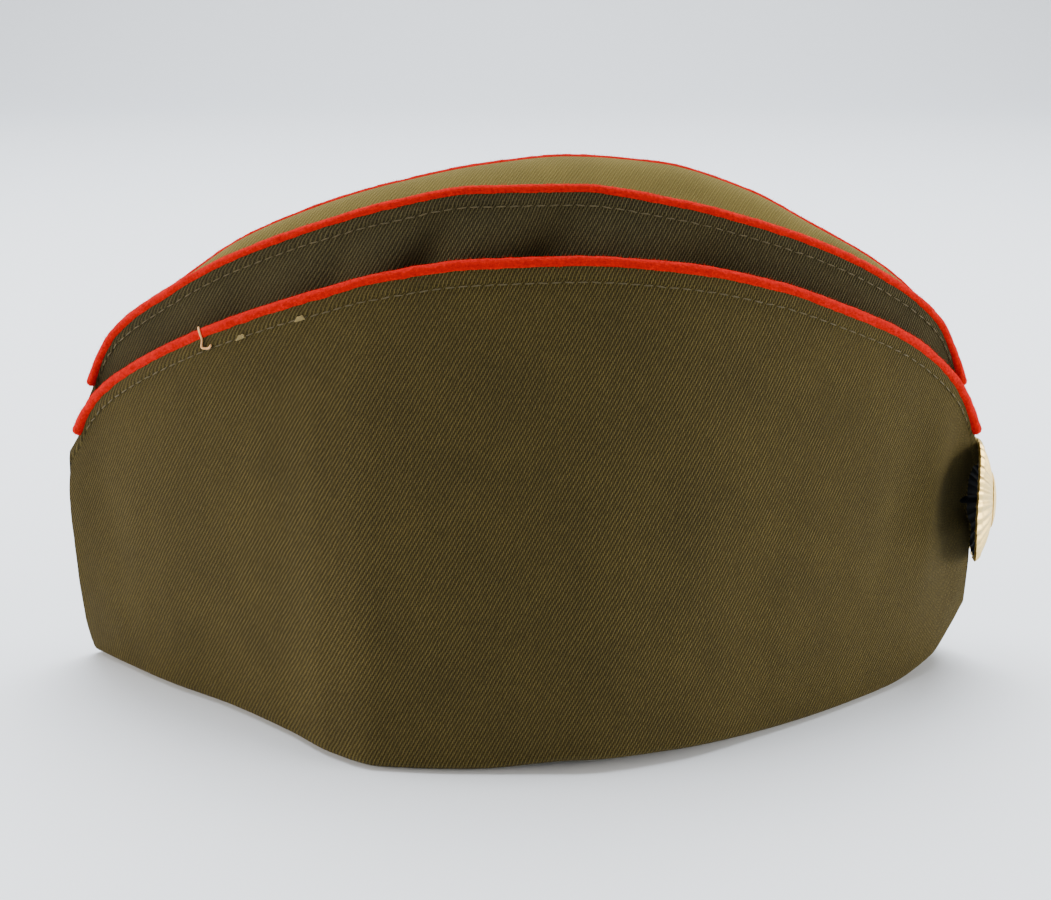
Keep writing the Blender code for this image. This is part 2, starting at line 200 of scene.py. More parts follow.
# %%
Fold = namedtuple("Fold", "along width depth slant")
CROWN_FOLDS = (
    Fold(-0.62, 0.05, 0.0012, 0.30),
    Fold(-0.42, 0.05, 0.0020, 0.35),
    Fold(-0.24, 0.045, 0.0044, 0.50),
    Fold(-0.15, 0.03, -0.0012, 0.50),
    Fold(0.00, 0.05, 0.0050, 0.50),
    Fold(0.10, 0.03, -0.0012, 0.45),
    Fold(0.17, 0.03, -0.0008, 0.40),
    Fold(0.33, 0.08, 0.0034, 0.35),
    Fold(0.52, 0.28, 0.0034, 0.10),
    Fold(0.00, 0.30, 0.0010, 0.00),
)
FLAP_FOLDS = (
    Fold(-0.93, 0.05, 0.0010, -0.10),
    Fold(-0.50, 0.20, 0.0006, 0.20),
    Fold(0.30, 0.22, 0.0005, -0.20),
    Fold(0.80, 0.05, 0.0008, 0.15),
    Fold(0.885, 0.03, -0.0008, 0.06),
    Fold(0.95, 0.03, 0.0010, 0.02),
)
BAND_WIDTH = {"flap": 0.0024, "crown_side": 0.0020}
BAND_RISE = 0.00028
STITCH_PITCH = 0.0030
STITCH_SINK = 0.00030
STITCH_FURROW = 0.00040
UNEVEN = 0.00035
NEAR_EDGE = [0.0003 * i for i in range(14)] + [0.0048, 0.0058, 0.0070, 0.0085, 0.0105]
COLUMN_COUNT = 300
WALL_ROWS = 26


def mound(distance, reach):
    return max(0.0, 1 - (distance / reach) ** 2)


def seam_shift(along, height):
    """How far the cloth near the front or rear seam leaves the straight line from hem to tip."""
    fade = max(0.0, (abs(along) - 0.80) / 0.20) ** 2
    if along < 0:
        return -0.0024 * fade * mound(height - 0.54 * FLAP_TIP_HEIGHT, 0.52 * FLAP_TIP_HEIGHT)
    reach = 0.30 if height > COCKADE_MIDDLE else 0.10
    return -0.0026 * fade * mound(height - COCKADE_MIDDLE, reach * FLAP_TIP_HEIGHT)


def fold_sink(folds, along, up, middle, reach):
    """How far the folds sink in at this place."""
    across = 0
    for fold in folds:
        off = along - fold.along - fold.slant * (up - middle)
        across += fold.depth * math.exp(-((off / fold.width) ** 2))
    return across * math.exp(-(((up - middle) / reach) ** 2)) * (1 - up ** 8)


def band_lift(below_edge, run, band):
    """The folded band beside a cord, and the furrow of the stitches that hold it."""
    step = 0.5 - 0.5 * math.tanh((below_edge - band - 0.0003) / 0.00024)
    pull = 0.75 + 0.25 * math.cos(2 * math.pi * run / STITCH_PITCH)
    furrow = pull * math.exp(-(((below_edge - band) / STITCH_FURROW) ** 2))
    return BAND_RISE * step - STITCH_SINK * furrow


def unevenness(place, seed):
    coarse = noise.noise(place * 38 + Vector((seed, 0, 0)))
    fine = noise.noise(place * 130 + Vector((0, seed, 0)))
    return UNEVEN * (coarse + 0.35 * fine)


print(f"{len(CROWN_FOLDS)} folds in each crown side, stitches every {STITCH_PITCH * 1000:g} mm")

# %% [markdown]
# ## Sections
# A section is a list of points from the bottom of a panel to its edge.

# %%
EDGE_REACH = 0.55  # the cloth ends inside its cord, at this share of the cord's radius
TIP_EASE = 0.45


def wall_shares(length):
    """Shares of the way up a wall, close together near its upper edge."""
    near = [1 - d / length for d in reversed(NEAR_EDGE)]
    low = [near[0] * i / WALL_ROWS for i in range(WALL_ROWS)]
    return low + near


def edge_of(line, side, along, target, radius):
    distance = EDGE_REACH * radius + TIP_EASE * cord_offset(line, side, along, radius)
    return beside(line, side, along, target, distance)


def flap_section(side, along, run):
    corner = hem(side, along)
    inward = hem_inward(side, along)
    bend = corner + (inward + Vector((0, 0, 1))) * HEM_BEND
    rows = [corner + inward * HEM_TURN, corner + inward * (HEM_TURN + HEM_BEND) / 2]
    for i in range(7):
        angle = math.radians(15 * i)
        rows.append(bend - (inward * math.sin(angle) + Vector((0, 0, math.cos(angle)))) * HEM_BEND)
    foot = rows[-1]
    edge = edge_of(flap_top, side, along, foot, FLAP_CORD)
    length = (edge - foot).length
    for up in wall_shares(length)[1:]:
        point = foot.lerp(edge, up)
        out = FLAP_BULGE * (1 - along ** 2) * 4 * up * (1 - up)
        out -= fold_sink(FLAP_FOLDS, along, up, 0.55, 0.30)
        below = (1 - up) * length
        out += band_lift(below, run, FLAP_CORD * (1 - EDGE_REACH) + BAND_WIDTH["flap"])
        out += unevenness(point, side * 7.0) * min(1, up * 8) * (1 - up ** 8)
        point -= inward * out
        point.x += seam_shift(along, point.z) * (1 - up ** 8)
        rows.append(point)
    return rows


def crown_section(side, along, run):
    inward = hem_inward(side, along)
    here = hem(side, along)
    way = hem(side, along + STEP) - hem(side, along - STEP)
    slant = way.length / way.to_2d().length
    foot = here + inward * CROWN_INSET + Vector((0, 0, 0.0017 * slant))
    edge = edge_of(ridge, side, along, foot, RIDGE_CORD)
    length = (edge - foot).length
    rows = []
    for up in wall_shares(length):
        point = foot.lerp(edge, up)
        out = CROWN_BULGE * (1 - along ** 2) * 27 / 4 * up ** 2 * (1 - up)
        out -= fold_sink(CROWN_FOLDS, along, up, 0.84, 0.16)
        below = (1 - up) * length
        out += band_lift(below, run, RIDGE_CORD * (1 - EDGE_REACH) + BAND_WIDTH["crown_side"])
        out += unevenness(point, side * 11.0) * (1 - up ** 8)
        point -= inward * out
        point.x += seam_shift(along, point.z) * (1 - up ** 8)
        rows.append(point)
    return rows


TOP_ROWS = 44
Wrinkle = namedtuple("Wrinkle", "along across length width height turn")
WRINKLES = (
    Wrinkle(0.30, 0.22, 0.26, 0.050, 0.0011, -0.10),
    Wrinkle(0.05, 0.30, 0.16, 0.060, 0.0006, 0.20),
    Wrinkle(-0.35, 0.70, 0.22, 0.060, 0.0006, -0.15),
    Wrinkle(0.55, 0.62, 0.20, 0.070, 0.0006, 0.10),
)


def top_section(side, along, run):
    ends = []
    for side_here in (RIGHT, LEFT):
        line = ridge(side_here, along)
        middle = Vector((line.x, 0, line.z))
        ends.append(beside(ridge, side_here, along, middle, EDGE_REACH * RIDGE_CORD))
    rows = []
    for i in range(TOP_ROWS + 1):
        across = 0.5 - 0.5 * math.cos(math.pi * i / TOP_ROWS)
        point = ends[0].lerp(ends[1], across)
        sunk = math.sin(math.pi * across)
        lift = sum(
            w.height
            * math.exp(-(((along - w.along) / w.length) ** 2))
            * math.exp(-(((across - w.across - w.turn * (along - w.along)) / w.width) ** 2))
            for w in WRINKLES
        )
        lift += unevenness(point, 3.0) * sunk
        point.z += lift * min(1, 3 * sunk) - TOP_SAG * (1 - along ** 2) * sunk ** 2
        rows.append(point)
    return rows


print("rows in a wall:", WALL_ROWS + len(NEAR_EDGE))

# %% [markdown]
# ## From sections to cloth
# Each panel is a grid of points with its own cloth coordinates in millimetres, so that the weave
# keeps its real scale and follows the cloth. Solidify gives the wall, and a cut along the middle
# of the cap trims the sides where they meet in the front and rear seams.

# %%
SEAM_OVERRUN = 0.045
SEAM_LAP = 0.00005


def stations(count, end=1.0, overrun=0.0):
    places = [end * math.sin(1.25 * (2 * i / count - 1)) / math.sin(1.25) for i in range(count + 1)]
    if overrun:
        places = [-end - overrun, *places, end + overrun]
    return places


def cloth_grid(name, section, side, places):
    """A grid of cloth with its coordinates in millimetres in the UV map."""
    columns = []
    run = 0.0
    runs = []
    last = None
    for along in places:
        middle = section(side, along, 0.0)
        middle = middle[len(middle) // 2]
        if last is not None:
            run += (middle - last).length
        last = middle
        runs.append(run)
        columns.append(section(side, along, run))
    points, uvs, faces = [], [], []
    for run, column in zip(runs, columns):
        height = 0.0
        for i, point in enumerate(column):
            if i:
                height += (point - column[i - 1]).length
            points.append(point)
            uvs.append((-side * 1000 * (run - runs[-1] / 2), 1000 * height))
    tall = len(columns[0])
    for c in range(len(columns) - 1):
        for r in range(tall - 1):
            a = c * tall + r
            faces.append((a, a + tall, a + tall + 1, a + 1))
    mesh = bpy.data.meshes.new(name)
    mesh.from_pydata(points, [], faces)
    layer = mesh.uv_layers.new(name="cloth_mm")
    for loop in mesh.loops:
        layer.data[loop.index].uv = uvs[loop.vertex_index]
    return mesh


def plain_mesh(obj, name):
    """The evaluated mesh of an object, which then goes."""
    bpy.context.view_layer.update()
    evaluated = obj.evaluated_get(bpy.context.evaluated_depsgraph_get())
    mesh = bpy.data.meshes.new_from_object(evaluated)
    mesh.name = name
    bpy.data.objects.remove(obj)
    return mesh


def add_object(name, mesh, material=None):
    obj = bpy.data.objects.new(name, mesh)
    bpy.context.scene.collection.objects.link(obj)
    if material:
        mesh.materials.clear()
        mesh.materials.append(material)
    return obj


def cloth_panel(name, section, side, places, wall, trimmed):
    grid = add_object(name + "_grid", cloth_grid(name, section, side, places))
    solidify = grid.modifiers.new("wall", "SOLIDIFY")
    solidify.thickness = wall
    solidify.offset = 0
    solidify.use_even_offset = True
    solidify.use_quality_normals = True
    mesh = plain_mesh(grid, name)
    if trimmed:
        bm = bmesh.new()
        bm.from_mesh(mesh)
        cut = bmesh.ops.bisect_plane(
            bm,
            geom=[*bm.verts, *bm.edges, *bm.faces],
            dist=1e-7,
            plane_co=(0, -side * SEAM_LAP, 0),
            plane_no=(0, -side, 0),
            clear_outer=True,
        )
        rim = [part for part in cut["geom_cut"] if isinstance(part, bmesh.types.BMEdge)]
        bmesh.ops.holes_fill(bm, edges=rim, sides=0)
        bm.to_mesh(mesh)
        bm.free()
    mesh.polygons.foreach_set("use_smooth", [True] * len(mesh.polygons))
    mesh.set_sharp_from_angle(angle=math.radians(50))
    return mesh


# %% [markdown]
# ## Colours and one helper for nodes
# Colours are given as sRGB hex values, and a shader wants linear light, so one function
# turns the one into the other.

# %%
def colour(hex_text):
    """An sRGB hex colour as linear red, green, blue and alpha."""
    parts = [int(hex_text[i : i + 2], 16) / 255 for i in (1, 3, 5)]
    linear = [c / 12.92 if c <= 0.04045 else ((c + 0.055) / 1.055) ** 2.4 for c in parts]
    return (*linear, 1)


def add_node(tree, kind, inputs=None, **settings):
    """A node with its settings, and each input set to a value or linked to a socket."""
    node = tree.nodes.new(kind)
    for key, value in settings.items():
        setattr(node, key, value)
    for key, value in (inputs or {}).items():
        if isinstance(value, bpy.types.NodeSocket):
            tree.links.new(value, node.inputs[key])
        else:
            node.inputs[key].default_value = value
    return node


def new_material(name):
    material = bpy.data.materials.new(name)
    material.use_nodes = True
    tree = material.node_tree
    return material, tree, tree.nodes["Principled BSDF"]


print("olive in linear light:", [round(c, 3) for c in colour("#75633A")])

# %% [markdown]
# ## Wool twill
# A twill weave shows warp yarns that float over two weft yarns and dive under one. Each next yarn
# starts one step higher, so the floats line up as slanting ribs. The material works out, for every
# point of the cloth, which yarn it lies on and how far along a float it is. The eye gets beaded
# diagonal ribs with dark gaps, which are painted shade between the yarns, a soft mottled wool colour
# and a pale bloom where the nap is seen edge-on.

# %%
YARN = 0.31  # mm between warp yarns
PICK = 0.50  # mm between weft yarns


def wool_twill(name, shaded_gap_hex, rib_hex, contrast, nap):
    material, tree, shader = new_material(name)
    uv = add_node(tree, "ShaderNodeUVMap", uv_map="cloth_mm").outputs[0]
    wobble = add_node(
        tree, "ShaderNodeTexNoise", {"Vector": uv, "Scale": 0.35, "Detail": 2.0}
    ).outputs["Color"]
    wobble = add_node(
        tree, "ShaderNodeVectorMath", {0: wobble, 1: (0.5, 0.5, 0.5)}, operation="SUBTRACT"
    ).outputs[0]
    wobble = add_node(
        tree, "ShaderNodeVectorMath", {0: wobble, "Scale": 0.5}, operation="SCALE"
    ).outputs[0]
    place = add_node(tree, "ShaderNodeVectorMath", {0: uv, 1: wobble}, operation="ADD").outputs[0]
    split = add_node(tree, "ShaderNodeSeparateXYZ", {0: place})
    yarn = add_node(
        tree, "ShaderNodeMath", {0: split.outputs[0], 1: YARN}, operation="DIVIDE"
    ).outputs[0]
    number = add_node(tree, "ShaderNodeMath", {0: yarn}, operation="FLOOR").outputs[0]
    across = add_node(tree, "ShaderNodeMath", {0: yarn, 1: 1.0}, operation="FLOORED_MODULO")
    pick = add_node(
        tree, "ShaderNodeMath", {0: split.outputs[1], 1: PICK}, operation="DIVIDE"
    ).outputs[0]
    pick = add_node(tree, "ShaderNodeMath", {0: pick, 1: number}, operation="SUBTRACT").outputs[0]
    float_place = add_node(tree, "ShaderNodeMath", {0: pick, 1: 3.0}, operation="FLOORED_MODULO")
    round_yarn = add_node(
        tree,
        "ShaderNodeMapRange",
        {0: across.outputs[0], 1: 0.0, 2: 1.0, 3: 0.0, 4: math.pi},
    ).outputs[0]
    round_yarn = add_node(tree, "ShaderNodeMath", {0: round_yarn}, operation="SINE").outputs[0]
    along = add_node(
        tree,
        "ShaderNodeMapRange",
        {0: float_place.outputs[0], 1: 0.0, 2: 1.9, 3: 0.0, 4: math.pi},
    ).outputs[0]
    along = add_node(tree, "ShaderNodeMath", {0: along}, operation="SINE").outputs[0]
    relief = add_node(
        tree, "ShaderNodeMath", {0: round_yarn, 1: along}, operation="MULTIPLY"
    ).outputs[0]
    float_number = add_node(tree, "ShaderNodeMath", {0: pick, 1: 3.0}, operation="DIVIDE").outputs[0]
    float_number = add_node(tree, "ShaderNodeMath", {0: float_number}, operation="FLOOR").outputs[0]
    bead = add_node(tree, "ShaderNodeCombineXYZ", {0: number, 1: float_number}).outputs[0]
    bead = add_node(tree, "ShaderNodeTexWhiteNoise", {"Vector": bead}).outputs[0]
    bead = add_node(tree, "ShaderNodeMapRange", {0: bead, 3: 0.62, 4: 1.12}).outputs[0]
    relief = add_node(tree, "ShaderNodeMath", {0: relief, 1: bead}, operation="MULTIPLY").outputs[0]
    fibres = add_node(
        tree, "ShaderNodeTexNoise", {"Vector": uv, "Scale": 3.2, "Detail": 3.0, "Roughness": 0.7}
    ).outputs[0]
    relief = add_node(
        tree, "ShaderNodeMath", {0: fibres, 1: 0.7, 2: relief}, operation="MULTIPLY_ADD"
    ).outputs[0]
    # tone runs from the gap colour, painted shade between the yarns, to the rib colour; the beads and
    # fibres add random tone
    tone = add_node(
        tree,
        "ShaderNodeMapRange",
        {0: relief, 1: 0.25, 2: 1.20, 3: 0.5 - contrast / 2, 4: 0.5 + contrast / 2},
    ).outputs[0]
    mix = add_node(
        tree, "ShaderNodeMix", {0: tone, 6: colour(shaded_gap_hex), 7: colour(rib_hex)}, data_type="RGBA"
    ).outputs[2]
    patches = add_node(
        tree, "ShaderNodeTexNoise", {"Vector": uv, "Scale": 0.06, "Detail": 4.0}
    ).outputs[0]
    patches = add_node(
        tree, "ShaderNodeMapRange", {0: patches, 1: 0.3, 2: 0.7, 3: 0.90, 4: 1.10}
    ).outputs[0]
    mix = add_node(
        tree, "ShaderNodeVectorMath", {0: mix, "Scale": patches}, operation="SCALE"
    ).outputs[0]
    bump = add_node(tree, "ShaderNodeBump", {"Height": relief, "Distance": 0.00022, "Strength": 1.0})
    tree.links.new(mix, shader.inputs["Base Color"])
    tree.links.new(bump.outputs[0], shader.inputs["Normal"])
    shader.inputs["Roughness"].default_value = 0.95
    shader.inputs["Specular IOR Level"].default_value = 0.15
    shader.inputs["Sheen Weight"].default_value = nap
    shader.inputs["Sheen Roughness"].default_value = 0.5
    shader.inputs["Sheen Tint"].default_value = colour("#C8B98A")
    return material


FLAP_WOOL = wool_twill("olive wool twill", "#1B1605", "#665829", 1.0, 0.06)
# The crown's copy is painted darker, as shade cast by the flap and the folds.
CROWN_WOOL_PAINTED_SHADE = wool_twill("olive wool twill, crown painted darker as shade", "#110E05", "#5C5330", 1.0, 0.04)
# The top's copy is painted lighter and flatter, as light falling on it from above.
TOP_WOOL_PAINTED_LIGHT = wool_twill("olive wool twill, top painted lighter as light", "#53481F", "#796B34", 0.7, 0.12)
print("three cuts of the same twill")

# %% [markdown]
# ## Felt, thread, gilt and floor
# Felt has no weave: the eye gets a saturated red with fine clumps and a fuzzy edge. Gilt brass gets
# a pale yellow reflection that is slightly clouded, as on anodised sheet. The back of the cockade
# is painted near-black as shade, so the hollow behind it reads as a deep shadow.

# %%
def red_felt():
    material, tree, shader = new_material("red wool felt")
    place = add_node(tree, "ShaderNodeTexCoord").outputs["Object"]
    clumps = add_node(
        tree, "ShaderNodeTexNoise", {"Vector": place, "Scale": 1400.0, "Detail": 4.0, "Roughness": 0.7}
    ).outputs[0]
    tone = add_node(tree, "ShaderNodeMapRange", {0: clumps, 1: 0.3, 2: 0.7, 3: 0.0, 4: 1.0}).outputs[0]
    mix = add_node(
        tree,
        "ShaderNodeMix",
        {0: tone, 6: colour("#940300"), 7: colour("#CA0802")},
        data_type="RGBA",
    ).outputs[2]
    bump = add_node(tree, "ShaderNodeBump", {"Height": clumps, "Distance": 0.0004, "Strength": 0.7})
    tree.links.new(mix, shader.inputs["Base Color"])
    tree.links.new(bump.outputs[0], shader.inputs["Normal"])
    shader.inputs["Roughness"].default_value = 1.0
    shader.inputs["Specular IOR Level"].default_value = 0.1
    return material


def plain_thread(name, hex_text):
    material, tree, shader = new_material(name)
    place = add_node(tree, "ShaderNodeTexCoord").outputs["Object"]
    twist = add_node(tree, "ShaderNodeTexNoise", {"Vector": place, "Scale": 2500.0}).outputs[0]
    tone = add_node(tree, "ShaderNodeMapRange", {0: twist, 1: 0.3, 2: 0.7, 3: 0.75, 4: 1.2}).outputs[0]
    mix = add_node(
        tree, "ShaderNodeVectorMath", {0: colour(hex_text)[:3], "Scale": tone}, operation="SCALE"
    ).outputs[0]
    tree.links.new(mix, shader.inputs["Base Color"])
    shader.inputs["Roughness"].default_value = 0.7
    return material


def gilt_brass():
    material, tree, shader = new_material("gilt brass")
    place = add_node(tree, "ShaderNodeTexCoord").outputs["Object"]
    cloud = add_node(tree, "ShaderNodeTexNoise", {"Vector": place, "Scale": 320.0, "Detail": 3.0})
    rough = add_node(
        tree, "ShaderNodeMapRange", {0: cloud.outputs[0], 1: 0.3, 2: 0.7, 3: 0.36, 4: 0.50}
    ).outputs[0]
    bump = add_node(
        tree, "ShaderNodeBump", {"Height": cloud.outputs[0], "Distance": 0.0001, "Strength": 0.3}
    )
    tree.links.new(rough, shader.inputs["Roughness"])
    tree.links.new(bump.outputs[0], shader.inputs["Normal"])
    shader.inputs["Base Color"].default_value = colour("#D8BC74")
    shader.inputs["Metallic"].default_value = 1.0
    return material


# Near-black painted shade, for the back of the cockade and its pin.
def near_black_painted_shade():
    material, tree, shader = new_material("near-black painted shade")
    shader.inputs["Base Color"].default_value = colour("#07070A")
    shader.inputs["Roughness"].default_value = 0.75
    shader.inputs["Specular IOR Level"].default_value = 0.1
    return material


def pale_paper():
    material, tree, shader = new_material("pale backdrop paper")
    shader.inputs["Base Color"].default_value = colour("#F1F4F8")
    shader.inputs["Roughness"].default_value = 0.9
    shader.inputs["Specular IOR Level"].default_value = 0.1
    return material


FELT = red_felt()
THREAD = plain_thread("olive thread", "#4E431F")
LOOSE_THREAD = plain_thread("undyed thread", "#E2A868")
KNOT_THREAD = plain_thread("pale olive thread", "#857440")
GILT = gilt_brass()
NEAR_BLACK_PAINTED_SHADE = near_black_painted_shade()
PAPER = pale_paper()
print("materials:", len(bpy.data.materials))

# %% [markdown]
# ## Sew the panels
# Each panel stands for the node of the frame whose wall it dresses.

# %%
def place_piece(obj, node):
    """The piece moves with the cap and stands for its node, which it hides."""
    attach(obj, "root")
    if node:
        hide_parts(node)
    return obj


side_places = stations(COLUMN_COUNT, overrun=SEAM_OVERRUN)
PANELS = (
    ("flap", flap_section, FLAP_WALL, FLAP_WOOL),
    ("crown_side", crown_section, CROWN_WALL, CROWN_WOOL_PAINTED_SHADE),
)
for part, section, wall, wool in PANELS:
    for side in (RIGHT, LEFT):
        node = part + "_" + SIDE_NAMES[side]
        mesh = cloth_panel(node + "_cloth", section, side, side_places, wall, True)
        place_piece(add_object(node + "_cloth", mesh, wool), node)
        print(node, len(mesh.polygons), "faces")

top_end = math.sqrt(1 - (RIDGE_CORD + CLEARANCE + 0.0003) / RIDGE_HALF_WIDTH)
mesh = cloth_panel("crown_top_cloth", top_section, RIGHT, stations(COLUMN_COUNT, top_end), TOP_WALL, False)
place_piece(add_object("crown_top_cloth", mesh, TOP_WOOL_PAINTED_LIGHT), "crown_top")
print("crown_top", len(mesh.polygons), "faces")

# %% [markdown]
# ## Felt cords
# The piping is a tube that swells and thins a little, with rounded ends, and a scatter of short
# fibres that Geometry Nodes plants on it with a fixed seed.

# %%
CORD_SIDES = 18
CORD_RINGS = 420


def cord_path(line, side, radius):
    path = []
    for along in stations(CORD_RINGS):
        point = line(side, along)
        point.y += side * cord_offset(line, side, along, radius)
        path.append(point)
    return path


def tube(name, path, radius, sides, swell=0.0, seed=0.0):
    """A closed tube along a path, rounded at both ends."""
    bm = bmesh.new()
    lengths = [0.0]
    for a, b in zip(path, path[1:]):
        lengths.append(lengths[-1] + (b - a).length)
    rings = []
    for i, point in enumerate(path):
        run = (path[min(i + 1, len(path) - 1)] - path[max(i - 1, 0)]).normalized()
        flat = Vector((0, 0, 1)).cross(run)
        flat = flat.normalized() if flat.length > 1e-6 else Vector((1, 0, 0))
        rise = run.cross(flat)
        near_end = min(lengths[i], lengths[-1] - lengths[i])
        cap = 1 - max(0.0, 1 - near_end / radius)
        size = radius * max(0.12, math.sqrt(max(0.0, 1 - (1 - cap) ** 2)))
        ring = []
        for k in range(sides):
            angle = 2 * math.pi * k / sides
            out = flat * math.cos(angle) + rise * math.sin(angle)
            bump = 1 + swell * noise.noise((point + out * radius) * 420 + Vector((seed, 0, 0)))
            bump += 0.6 * swell * noise.noise(point * 90 + Vector((0, seed, 0)))
            ring.append(bm.verts.new(point + out * size * bump))
        rings.append(ring)
    for lower, upper in zip(rings, rings[1:]):
        for k in range(sides):
            m = (k + 1) % sides
            bm.faces.new((lower[k], lower[m], upper[m], upper[k]))
    bm.faces.new(rings[0])
    bm.faces.new(list(reversed(rings[-1])))
    bmesh.ops.recalc_face_normals(bm, faces=bm.faces)
    for face in bm.faces:
        face.smooth = True
    mesh = bpy.data.meshes.new(name)
    bm.to_mesh(mesh)
    bm.free()
    return mesh


def new_tree(name, inputs):
    """A Geometry Nodes tree with named inputs, its group input node and its inputs' identifiers."""
    tree = bpy.data.node_groups.new(name, "GeometryNodeTree")
    tree.interface.new_socket("Geometry", in_out="OUTPUT", socket_type="NodeSocketGeometry")
    tree.interface.new_socket("Geometry", in_out="INPUT", socket_type="NodeSocketGeometry")
    for label, kind in inputs:
        tree.interface.new_socket(label, in_out="INPUT", socket_type=kind)
    found = {
        item.name: item.identifier
        for item in tree.interface.items_tree
        if item.in_out == "INPUT" and item.name != "Geometry"
    }
    return tree, add_node(tree, "NodeGroupInput"), found


def end_tree(tree, geometry, material):
    real = add_node(tree, "GeometryNodeRealizeInstances", {0: geometry})
    finish = add_node(tree, "GeometryNodeSetMaterial", {0: real.outputs[0], "Material": material})
    add_node(tree, "NodeGroupOutput", {0: finish.outputs[0]})


def grow(tree, found, base, name, values):
    """What the tree makes on a mesh, as a plain mesh."""
    obj = add_object(name + "_base", base)
    modifier = obj.modifiers.new("grow", "NODES")
    modifier.node_group = tree
    for label, value in values.items():
        modifier[found[label]] = value
    return plain_mesh(obj, name)


fuzz_tree, given, FUZZ = new_tree(
    "felt fibres",
    (
        ("Density", "NodeSocketFloat"),
        ("Fibre length", "NodeSocketFloat"),
        ("Fibre thickness", "NodeSocketFloat"),
        ("Lean", "NodeSocketFloat"),
        ("Seed", "NodeSocketInt"),
        ("Material", "NodeSocketMaterial"),
    ),
)
spread = add_node(
    fuzz_tree,
    "GeometryNodeDistributePointsOnFaces",
    {"Mesh": given.outputs[0], "Density": given.outputs["Density"], "Seed": given.outputs["Seed"]},
)
lean = add_node(
    fuzz_tree,
    "FunctionNodeRandomValue",
    {0: (-1, -1, -1), 1: (1, 1, 1), "Seed": given.outputs["Seed"]},
    data_type="FLOAT_VECTOR",
)
lean = add_node(
    fuzz_tree,
    "ShaderNodeVectorMath",
    {0: lean.outputs[0], "Scale": given.outputs["Lean"]},
    operation="SCALE",
)
way = add_node(
    fuzz_tree,
    "ShaderNodeVectorMath",
    {0: lean.outputs[0], 1: spread.outputs["Normal"]},
    operation="ADD",
)
turn = add_node(
    fuzz_tree, "FunctionNodeAlignRotationToVector", {"Vector": way.outputs[0]}, axis="Z"
)
fibre = add_node(
    fuzz_tree,
    "GeometryNodeMeshCone",
    {
        "Vertices": 3,
        "Radius Top": 0.0,
        "Radius Bottom": given.outputs["Fibre thickness"],
        "Depth": given.outputs["Fibre length"],
    },
    fill_type="NONE",
)
scale = add_node(
    fuzz_tree, "FunctionNodeRandomValue", {2: 0.3, 3: 1.3, "Seed": given.outputs["Seed"]}
)
planted = add_node(
    fuzz_tree,
    "GeometryNodeInstanceOnPoints",
    {
        "Points": spread.outputs["Points"],
        "Instance": fibre.outputs["Mesh"],
        "Rotation": turn.outputs[0],
        "Scale": scale.outputs[1],
    },
)
end_tree(fuzz_tree, planted.outputs[0], given.outputs["Material"])

CORDS = (("flap_piping", flap_top, FLAP_CORD), ("ridge_piping", ridge, RIDGE_CORD))
for part, line, radius in CORDS:
    for side in (RIGHT, LEFT):
        node = part + "_" + SIDE_NAMES[side]
        mesh = tube(node, cord_path(line, side, radius), radius, CORD_SIDES, 0.10, side * 5.0)
        place_piece(add_object(node + "_felt", mesh, FELT), node)
        seed = 11 + side
        fuzz = grow(
            fuzz_tree,
            FUZZ,
            mesh.copy(),
            node + "_fuzz",
            {
                "Density": 3.0e6,
                "Fibre length": 0.0007,
                "Fibre thickness": 0.00003,
                "Lean": 1.1,
                "Seed": seed,
                "Material": FELT,
            },
        )
        place_piece(add_object(node + "_fuzz", fuzz, FELT), None)
        print(node, len(mesh.polygons), "faces,", len(fuzz.polygons) // 3, "fibres")

# %% [markdown]
# ## Topstitching
# A line of stitches holds the folded band beside each cord. The line is read off the cloth itself,
# and a second tree lays one thread capsule per stitch along it.

# %%
stitch_tree, given, STITCH = new_tree(
    "stitches",
    (
        ("Pitch", "NodeSocketFloat"),
        ("Length", "NodeSocketFloat"),
        ("Thickness", "NodeSocketFloat"),
        ("Seed", "NodeSocketInt"),
        ("Material", "NodeSocketMaterial"),
    ),
)
line = add_node(stitch_tree, "GeometryNodeMeshToCurve", {0: given.outputs[0]})
even = add_node(
    stitch_tree,
    "GeometryNodeResampleCurve",
    {"Curve": line.outputs[0], "Length": given.outputs["Pitch"]},
    mode="LENGTH",
)
tangent = add_node(stitch_tree, "GeometryNodeInputTangent")
sway = add_node(
    stitch_tree,
    "FunctionNodeRandomValue",
    {0: (-0.12, -0.12, -0.12), 1: (0.12, 0.12, 0.12), "Seed": given.outputs["Seed"]},
    data_type="FLOAT_VECTOR",
)
way = add_node(
    stitch_tree, "ShaderNodeVectorMath", {0: tangent.outputs[0], 1: sway.outputs[0]}, operation="ADD"
)
turn = add_node(
    stitch_tree, "FunctionNodeAlignRotationToVector", {"Vector": way.outputs[0]}, axis="X"
)
bead = add_node(
    stitch_tree, "GeometryNodeMeshUVSphere", {"Segments": 10, "Rings": 8, "Radius": 0.5}
)
size = add_node(
    stitch_tree,
    "ShaderNodeCombineXYZ",
    {
        0: given.outputs["Length"],
        1: given.outputs["Thickness"],
        2: given.outputs["Thickness"],
    },
)
laid = add_node(
    stitch_tree,
    "GeometryNodeInstanceOnPoints",
    {
        "Points": even.outputs[0],
        "Instance": bead.outputs["Mesh"],
        "Rotation": turn.outputs[0],
        "Scale": size.outputs[0],
    },
)
end_tree(stitch_tree, laid.outputs[0], given.outputs["Material"])


def stitch_path(section, side, places, band, wall):
    """The line of the stitches, on the outside of the cloth and this far below its edge."""
    path = []
    for along in places:
        rows = section(side, along, STITCH_PITCH / 2)
        gone = 0.0
        for upper, lower in zip(reversed(rows), reversed(rows[:-1])):
            gone += (upper - lower).length
            if gone >= band:
                break
        path.append(lower - hem_inward(side, along) * (wall / 2 + 0.00012))
    return path


def line_mesh(name, path):
    mesh = bpy.data.meshes.new(name)
    mesh.from_pydata(path, [(i, i + 1) for i in range(len(path) - 1)], [])
    return mesh


